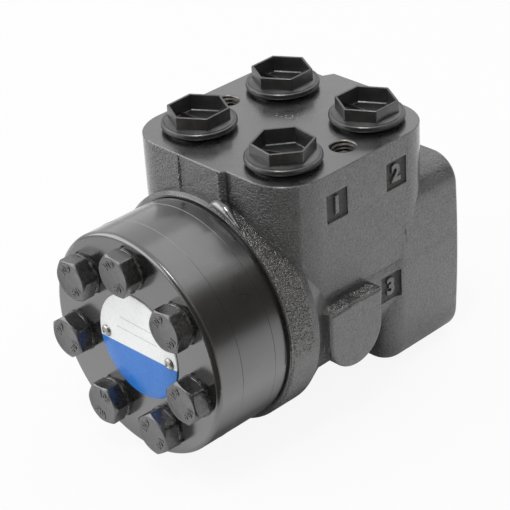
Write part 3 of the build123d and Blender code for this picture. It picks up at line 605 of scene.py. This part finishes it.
def bolts():
    """Seven bolts with washers. The pin bolt is the first one, and a piece of its own."""
    heads, pin, washers, marks = bmesh.new(), None, bmesh.new(), bmesh.new()
    for index in range(BOLT_COUNT):
        angle = radians(BOLT_START + index * BOLT_PITCH)
        x, z = BOLT_CIRCLE_R * cos(angle), BOLT_CIRCLE_R * sin(angle)
        spin = Matrix.Rotation(radians(BOLT_TURNS[index]), 4, "Z")
        head = hex_head()
        place(head, facing_cover(x, z) @ spin)
        if index == 0:
            pin = head
        else:
            join(heads, head)
        washer = washer_rings()
        place(washer, facing_cover(x, z))
        join(washers, washer)
        for text, middle in (("10.9", MARK_TURNS[index]), ("108", MARK_TURNS[index] + 180)):
            join(marks, rim_marks(facing_cover(x, z), text, middle))
    black = MATERIALS["bolt_black"]
    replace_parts(piece("bolt_heads", heads, black), "cover_bolts")
    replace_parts(piece("pin_bolt_head", pin, black), "pin_bolt")
    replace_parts(piece("bolt_washers", washers, MATERIALS["washer_steel"]), "cover_washers")
    piece("bolt_marks", marks, black)


# ---------------------------------------------------------------- port plugs
def plug_mesh(turn):
    """Hollow hexagon cap on a round flange, with a rib across its floor."""
    corner, wall, top, floor = 12.8, 1.1, 8.8, 2.2
    hexagon_fillet = 0.75
    rib_turn = -30
    mesh = bmesh.new()
    flange = (
        (9.3, -11.0), (10.3, -10.0), (10.3, 0.05), (12.6, 0.05), (12.9, 0.3), (12.95, 1.0), (14.3, 1.15),
        (14.8, 1.4), (15.0, 1.9), (15.0, 2.7), (14.85, 3.2), (14.45, 3.55), (14.0, 3.58), (13.7, 3.4),
        (13.3, 3.45), (12.6, 3.85), (10.9, 4.1),
    )
    loops(mesh, [circle(r, h, 96) for r, h in flange], closed_start=True)
    steps = (
        (0.0, 3.2), (0.0, 3.9), (0.05, 5.0), (0.08, 8.3), (0.14, 8.62), (0.32, top), (wall - 0.3, top),
        (wall - 0.08, 8.64), (wall, 8.3), (wall + 0.1, 4.6), (wall + 0.14, floor + 0.4), (wall + 0.5, floor),
        (5.0, floor),
    )
    loops(mesh, [rounded_hexagon(corner, inset, h, hexagon_fillet) for inset, h in steps], closed_end=True)
    rib = bmesh.new()
    reach = corner * cos(pi / 6) - wall - 0.1
    outline = [(-0.45, floor), (-0.4, 3.3), (-0.2, 3.6), (0.2, 3.6), (0.4, 3.3), (0.45, floor)]
    ends = [[(side * reach, y, z) for y, z in outline] for side in (-1, 1)]
    loops(rib, ends, closed_start=True, closed_end=True)
    place(rib, Matrix.Rotation(radians(rib_turn), 4, "Z"))
    join(mesh, rib)
    place(mesh, Matrix.Rotation(radians(turn), 4, "Z"))
    return mesh


def plugs():
    """The four transport plugs, each turned as it was screwed in."""
    for name, (x, y, turn) in PORTS.items():
        mesh = plug_mesh(turn)
        place(mesh, shift(x, y, PORT_FACE_Z))
        made = piece(name.replace("port_plug", "cap"), mesh, MATERIALS["plug_plastic"])
        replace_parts(made, name)


# ---------------------------------------------------------------- threads
def thread_tube(depth, major=4.98, minor=4.2, pitch=1.5, around=40, per_pitch=8):
    """Helical inside thread from z = 0 down, which runs in over its first part of a turn."""
    run_in, flank_slope, root_share = 0.9, 1.35, 0.17
    rings = []
    for row in range(int(depth / pitch * per_pitch) + 1):
        height = -row * pitch / per_pitch
        ring = []
        for step in range(around):
            turn = tau * step / around
            phase = (height / pitch + step / around) % 1.0
            fading = min(1.0, max(0.0, (-height) / run_in))
            crest = 1 - min(1.0, max(0.0, abs(2 * phase - 1) * flank_slope - root_share))
            radius = major - (major - minor) * crest * fading
            ring.append((radius * cos(turn), radius * sin(turn), height))
        rings.append(ring)
    mesh = bmesh.new()
    loops(mesh, rings)
    return mesh


def threads():
    """Threads and bare mouths of the two holes of the port face and the four of the column face."""
    mouth = ((5.49, -0.004), (5.42, -0.03), (5.0, -0.42), (4.93, -0.6))
    tubes, rims = bmesh.new(), bmesh.new()
    spots = []
    for side in (-1, 1):
        spots.append((shift(side * PORT_BOLT_X, PORT_BOLT_Y, PORT_FACE_Z), PORT_THREAD_DEPTH))
    offset = COLUMN_CIRCLE_R * cos(radians(45))
    turn = Matrix(((-1, 0, 0), (0, 0, 1), (0, 1, 0))).to_4x4()
    for x in (-offset, offset):
        for z in (-offset, offset):
            spots.append((shift(x, 0, z) @ turn, COLUMN_THREAD_DEPTH))
    for matrix, depth in spots:
        tube = thread_tube(depth - HOLE_MOUTH_DEPTH)
        place(tube, matrix @ shift(0, 0, -HOLE_MOUTH_DEPTH))
        join(tubes, tube)
        rim = bmesh.new()
        loops(rim, [circle(r, h, 48) for r, h in mouth])
        place(rim, matrix)
        join(rims, rim)
    piece("mounting_threads", tubes, THREAD_METAL, smooth_angle=50)
    piece("thread_mouths", rims, RIM_METAL)


# ---------------------------------------------------------------- cast marks and rough seams
def lumps(point, size, seed):
    """Repeatable lumpy height between 0 and 1 at a point in millimetres."""
    contrast = 1.3
    spot = Vector(point) / size + Vector((seed, seed * 0.7, -seed))
    return min(1.0, max(0.0, 0.5 + contrast * noise.noise(spot)))


def window_floor(seed, steps=56):
    """Grainy floor of a window that turns up a little where it meets the walls."""
    base, grain, grain_size, cove, cove_sharpness = 0.08, 0.16, 0.6, 0.35, 12

    def point_at(u, v):
        a, b = 2 * u - 1, 2 * v - 1
        point = (a * WINDOW_HALF_Y, b * WINDOW_HALF_Z, 0)
        edge = max(abs(a), abs(b)) ** cove_sharpness
        return Vector((point[0], point[1], base + grain * lumps(point, grain_size, seed) + cove * edge))

    return grid_mesh(steps, steps, point_at)


def cast_numbers():
    """Raised plain numbers on the dark floors of the three cast windows."""
    number_lift = 0.42
    wall = Matrix(((0, 0, 1), (1, 0, 0), (0, 1, 0))).to_4x4()
    floors = bmesh.new()
    for text, x, y, z in WINDOWS:
        mark = number_mesh(text, size=9.8, raise_by=0.34, thickness=0.2, heavier=0.3)
        place(mark, shift(x + number_lift, y, z) @ wall)
        piece(f"cast_number_{text}", mark, MATERIALS["cast_housing"])
        floor = window_floor(int(text))
        place(floor, shift(x, y, z) @ wall)
        join(floors, floor)
    piece("window_floors", floors, MATT_SHADE_PAINT, smooth_angle=80)


def rough_patch(name, surface, columns, rows, seed, height=0.45, material=None):
    """Thin sheet of casting sand grain that hugs a surface given as f(u, v) -> (point, outward).

    Its ragged edges dive below the surface, so that it has no outline of its own.
    """
    sunk = 0.15
    edge_u, edge_v = 0.12, 0.16
    rag_size, lump_size, grain_size = 2.2, 1.7, 0.45

    def point_at(u, v):
        point, outward = surface(u, v)
        edge = min(u, 1 - u, edge_u) / edge_u * min(v, 1 - v, edge_v) / edge_v
        ragged = lumps(point, rag_size, seed + 3)
        rise = height * (0.2 * lumps(point, lump_size, seed) + 0.8 * lumps(point, grain_size, seed + 1))
        lift = -sunk + (rise + sunk) * min(1.0, edge * (0.6 + 1.4 * ragged))
        return Vector(point) + Vector(outward) * lift

    mesh = grid_mesh(columns, rows, point_at)
    return piece(name, mesh, material or MATERIALS["cast_housing"], smooth_angle=80)


def along(outline, v):
    """Point at share v of an open line through evenly numbered places."""
    spot = v * (len(outline) - 1)
    first = min(int(spot), len(outline) - 2)
    share = spot - first
    return [a + (b - a) * share for a, b in zip(outline[first], outline[first + 1])]


def upright(outline, start_z, drop, outward):
    """Surface that drops straight down from an outline in x and y."""
    def surface(u, v):
        x, y = along(outline, v)
        return (x, y, start_z - drop * u), outward

    return surface


def flange_arc(u, v):
    """Rim of the gear flange, from the front of the block down to the lug."""
    turn = radians(74 - 84 * u)
    radius = 48.6 - 0.4 * u * u
    return (radius * cos(turn), -101.6 + 12.4 * v, radius * sin(turn)), (cos(turn), 0, sin(turn))


def lug_shelf(u, v):
    """Narrow shelf on top of the lug."""
    return (43.4 + 5.6 * v, -82.0 + 28.4 * u, 6.42), (0, 0, 1)


def crease_shadow_strip(u, v):
    """Strip on the wall above the column flange, which narrows downwards, that carries a painted shadow of
    the crease there.
    """
    return (43.78, -32.6 + (0.9 - 0.5 * u) * v + 0.5 * u, 21.4 - 12.4 * u), (1, 0, 0)


def rough_seams():
    """Coarse grit, mould seams and flash ridges of the casting, and a painted shadow strip in the crease
    above the column flange.
    """
    fin = ((-13.4, -97.9), (-12.6, -98.5), (-11.9, -98.6), (-11.2, -97.9))
    step = ((8.7, -97.8), (9.4, -98.7), (10.6, -98.9), (11.7, -98.2), (12.3, -97.0), (12.6, -95.8))
    lug_side = ((43.0, -88.4), (44.2, -85.0), (45.0, -82.9), (46.4, -82.2), (48.8, -82.1))
    rough_patch("flange_grit", flange_arc, 400, 70, 4.1, 0.55, GRIT_PAINT)
    rough_patch("lug_grit", lug_shelf, 150, 32, 9.3, 0.5, GRIT_PAINT)
    rough_patch("mould_fin", upright(fin, 61.2, 14.0, (0.2, -0.98, 0)), 80, 18, 2.7, 0.3)
    rough_patch("relief_step", upright(step, 61.2, 13.2, (0.8, -0.6, 0)), 90, 24, 6.2, 0.35)
    rough_patch("lug_corner", upright(lug_side, 6.0, 19.0, (0.85, -0.53, 0)), 110, 40, 5.4, 0.35)
    # Painted shadow: a thin dark matt sheet on the wall where the crease lies in shade.
    rough_patch("column_crease_shadow", crease_shadow_strip, 60, 8, 7.7, 0.12, MATT_SHADE_PAINT)


def ring_seams():
    """Fine beads of paint where the ring meets the cover and the plate behind it."""
    bead = ((46.14, -0.2), (46.3, -0.08), (46.3, 0.08), (46.14, 0.2))
    mesh = bmesh.new()
    for y in RING_SEAM_Y:
        loops(mesh, [[(r * cos(t), y + h, r * sin(t)) for t in TURNS] for r, h in bead])
    piece("ring_seams", mesh, MATERIALS["gear_set_paint"])


def paint_run():
    """Blob of paint that gathered in the corner above the gear flange."""
    route = (
        (7.2, -100.2, 48.4, 0.9), (10.0, -100.0, 48.9, 1.9), (13.4, -99.8, 48.4, 2.6),
        (16.8, -100.2, 46.9, 2.0), (20.2, -100.9, 45.0, 1.1), (24.0, -101.4, 42.9, 0.6),
    )
    lean, around = 0.35, 16
    turns = [tau * k / around for k in range(around)]
    rings = []
    for x, y, z, r in route:
        rings.append([(x + r * lean * sin(t), y + r * cos(t), z + r * sin(t)) for t in turns])
    mesh = bmesh.new()
    loops(mesh, rings, closed_start=True, closed_end=True)
    made = piece("paint_run", mesh, WET_PAINT, smooth_angle=180)
    smooth = made.modifiers.new("smooth", "SUBSURF")
    smooth.levels = 2
    smooth.render_levels = 2


def droplets():
    """Small beads of paint on the port face between the rear plugs."""
    count, middle, spread = 22, (-1.5, -48.0), (9.0, 7.0)
    least_r, more_r, flatness, sunk = 0.28, 0.4, 0.42, 0.01
    dome_turns = (0.0, 0.35, 0.7, 1.05, 1.4)
    mesh = bmesh.new()
    for step in range(count):
        spot = Vector((step * 0.37, 4.2, 1.7))
        x = middle[0] + spread[0] * noise.noise(spot * 3.1)
        y = middle[1] + spread[1] * noise.noise(spot * 2.3 + Vector((9, 2, 4)))
        radius = least_r + more_r * abs(noise.noise(spot * 5.7))
        dome = [(radius * cos(t), flatness * radius * sin(t)) for t in dome_turns]
        rings = [circle(r, PORT_FACE_Z + h - sunk, 14, (x, y)) for r, h in dome]
        loops(mesh, rings, closed_end=True)
    piece("paint_beads", mesh, WET_PAINT, smooth_angle=180)


# ---------------------------------------------------------------- name plate
def name_plate():
    """Thin printed disc held by two drive rivets."""
    disc = ((21.8, 0.02), (21.8, 0.35), (21.68, 0.52), (21.45, 0.6), (14.0, 0.6), (4.0, 0.6))
    rivet = (
        (2.35, 0.62), (2.42, 0.8), (2.3, 1.1), (1.9, 1.45), (1.3, 1.68), (1.05, 1.7), (0.8, 1.5), (0.3, 1.45),
    )
    mesh = bmesh.new()
    loops(mesh, [circle(r, h, 128) for r, h in disc], closed_end=True)
    place(mesh, facing_cover(PLATE_X, PLATE_Z))
    made = piece("printed_plate", mesh, MATERIALS["name_plate"])
    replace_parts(made, "name_plate")
    rivets = bmesh.new()
    for side in (-1, 1):
        head = bmesh.new()
        loops(head, [circle(r, h, 40) for r, h in rivet], closed_end=True)
        place(head, facing_cover(PLATE_X + side * RIVET_REACH, PLATE_Z))
        join(rivets, head)
    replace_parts(piece("drive_rivets", rivets, MATERIALS["rivet_metal"]), "name_plate_rivets")


# ---------------------------------------------------------------- stage, light and camera, in metres
def show_background(tree, seen, lit, share):
    """Mix what camera, glossy and transmission rays see with what lights the object."""
    rays = tree.nodes.new("ShaderNodeLightPath")
    total = rays.outputs["Is Camera Ray"]
    for ray in ("Is Glossy Ray", "Is Transmission Ray"):
        either = tree.nodes.new("ShaderNodeMath")
        either.operation = "MAXIMUM"
        tree.links.new(total, either.inputs[0])
        tree.links.new(rays.outputs[ray], either.inputs[1])
        total = either.outputs[0]
    part = tree.nodes.new("ShaderNodeMath")
    part.operation = "MULTIPLY"
    part.inputs[1].default_value = share
    tree.links.new(total, part.inputs[0])
    mix = tree.nodes.new("ShaderNodeMixShader")
    tree.links.new(part.outputs[0], mix.inputs[0])
    tree.links.new(lit.outputs[0], mix.inputs[1])
    tree.links.new(seen.outputs[0], mix.inputs[2])
    return mix.outputs[0]


def stage():
    """Pale floor below the object, tilted as it is seen to lie.

    Only to reflections, it carries a painted contact shadow close to the object and painted dimming far away.
    """
    half_size, rise, run = 3.0, 5.5, 85.0
    half_x, middle_y, half_y = 0.032, -0.066, 0.056
    near_reach, near_level = 0.035, 0.08
    far_start, far_end, far_level = 0.08, 0.75, 0.4
    reflected_share = 0.9
    tilt = atan2(rise, run)
    low = Vector((0, -87 * MM, -48.6 * MM))
    corners = []
    for sx, sy in ((-1, -1), (1, -1), (1, 1), (-1, 1)):
        corners.append(low + Vector((sx * half_size, sy * half_size * cos(tilt), sy * half_size * sin(tilt))))
    s = Shader("floor", (0.9, 0.9, 0.9), 1.0)
    s.surface.inputs["Specular IOR Level"].default_value = 0.0
    x, y, _ = s.axes()
    beside = s.math("MAXIMUM", s.math("SUBTRACT", s.math("ABSOLUTE", x), half_x), 0.0)
    ahead = s.math("ABSOLUTE", s.math("ADD", y, -middle_y))
    ahead = s.math("MAXIMUM", s.math("SUBTRACT", ahead, half_y), 0.0)
    gap = s.math("SQRT", s.math("ADD", s.math("MULTIPLY", beside, beside), s.math("MULTIPLY", ahead, ahead)))
    # Painted contact shadow: the floor seen in reflections darkens close to the object.
    contact_shadow = s.span(gap, 0.0, near_reach, near_level, 1.0)
    # Painted dimming: the floor seen in reflections darkens far from the object.
    distant_dimming = s.span(gap, far_start, far_end, 1.0, far_level)
    rays = s.add("ShaderNodeLightPath")
    seen = s.add("ShaderNodeEmission")
    level = s.math("MAXIMUM", s.math("MULTIPLY", contact_shadow, distant_dimming), rays.outputs["Is Camera Ray"])
    s.link(level, seen.inputs["Strength"])
    out = s.tree.nodes["Material Output"]
    s.link(show_background(s.tree, seen, s.surface, reflected_share), out.inputs["Surface"])
    flat("floor", corners, s.material)


def flat(name, corners, material):
    """Single face that belongs to the stage."""
    data = bpy.data.meshes.new(name)
    data.from_pydata(corners, [], [(0, 1, 2, 3)])
    data.materials.append(material)
    made = bpy.data.objects.new(name, data)
    bpy.context.scene.collection.objects.link(made)
    return made


def dark_flags():
    """Dark studio panels right of the object and before it, which only its gloss mirrors.

    A corner is its distance from the middle of the object, its turn in degrees from +X, and its height.
    """
    middle_y = -0.07
    material = bpy.data.materials.new("dark_flag")
    material.use_nodes = True
    surface = material.node_tree.nodes["Principled BSDF"]
    surface.inputs["Base Color"].default_value = (0.07, 0.06, 0.048, 1)
    surface.inputs["Roughness"].default_value = 0.9
    panels = {
        "flag_right": ((1.6, 12, -0.04), (1.6, 62, -0.04), (1.6, 60, 1.75), (1.6, 14, 1.75)),
        "flag_front": ((1.3, -98, -0.06), (1.3, 8, -0.06), (1.3, 4, 1.0), (1.3, -92, 1.0)),
        "flag_low": ((0.16, -100, -0.05), (1.5, -98, -0.135), (1.5, -18, -0.06), (0.16, -18, -0.045)),
    }
    for name, outline in panels.items():
        corners = []
        for r, turn, height in outline:
            corners.append((r * cos(radians(turn)), middle_y + r * sin(radians(turn)), height))
        made = flat(name, corners, material)
        made.visible_camera = False
        made.visible_shadow = False
        made.visible_diffuse = False


def world():
    """White to the camera, a little less to reflections, and a grey fill light."""
    glossy_level, fill_level = 0.86, 0.6
    studio = bpy.data.worlds.new("studio")
    bpy.context.scene.world = studio
    studio.use_nodes = True
    tree = studio.node_tree
    tree.nodes.clear()
    seen = tree.nodes.new("ShaderNodeBackground")
    seen.inputs["Color"].default_value = (1, 1, 1, 1)
    rays = tree.nodes.new("ShaderNodeLightPath")
    strength = tree.nodes.new("ShaderNodeMath")
    strength.operation = "MAXIMUM"
    strength.inputs[1].default_value = glossy_level
    tree.links.new(rays.outputs["Is Camera Ray"], strength.inputs[0])
    tree.links.new(strength.outputs[0], seen.inputs["Strength"])
    fill = tree.nodes.new("ShaderNodeBackground")
    fill.inputs["Color"].default_value = (fill_level, fill_level, fill_level, 1)
    out = tree.nodes.new("ShaderNodeOutputWorld")
    tree.links.new(show_background(tree, seen, fill, 1.0), out.inputs["Surface"])


def softbox(name, where, width, height, radiance, target=(0.0, -0.07, 0.0)):
    """Rectangular lamp that faces the object and is equally bright whatever its size."""
    data = bpy.data.lights.new(name, "AREA")
    data.shape = "RECTANGLE"
    data.size = width
    data.size_y = height
    data.energy = radiance * pi * width * height
    made = bpy.data.objects.new(name, data)
    made.location = where
    made.rotation_euler = (Vector(target) - Vector(where)).to_track_quat("-Z", "Y").to_euler()
    bpy.context.scene.collection.objects.link(made)


def lights():
    """A broad lamp at the front left, a soft one above the back, and a small strong one for the glints."""
    softbox("front_left", (-0.9, -1.0, 0.5), width=1.6, height=1.0, radiance=1.8)
    softbox("overhead", (0.05, 0.75, 1.05), width=1.4, height=0.8, radiance=0.6)
    softbox("glint", (0.2, -0.5, 1.2), width=0.26, height=0.26, radiance=14.0)


def camera():
    """Long lens above the cover and the lug side."""
    place_at = (0.45317, -0.49052, 0.36961)
    forward = Vector((-0.63544, 0.58560, -0.50328)).normalized()
    right = Vector((0.7002, 0.7118, -0.0558))
    data = bpy.data.cameras.new("camera")
    data.lens = 126.98
    data.sensor_width = 36
    right = (right - forward * right.dot(forward)).normalized()
    up = right.cross(forward)
    made = bpy.data.objects.new("camera", data)
    turn = Matrix((right, up, -forward)).transposed().to_4x4()
    made.matrix_world = Matrix.Translation(place_at) @ turn
    bpy.context.scene.collection.objects.link(made)
    bpy.context.scene.camera = made


# ---------------------------------------------------------------- build
for row in frame["record"]["subparts"]:
    node = frame["nodes"][row["node"]]
    node.data.materials.clear()
    node.data.materials.append(MATERIALS[row["material_slot"]])
bolts()
plugs()
threads()
cast_numbers()
rough_seams()
ring_seams()
paint_run()
droplets()
name_plate()
stage()
dark_flags()
world()
lights()
camera()
bpy.context.scene.view_settings.view_transform = "Standard"
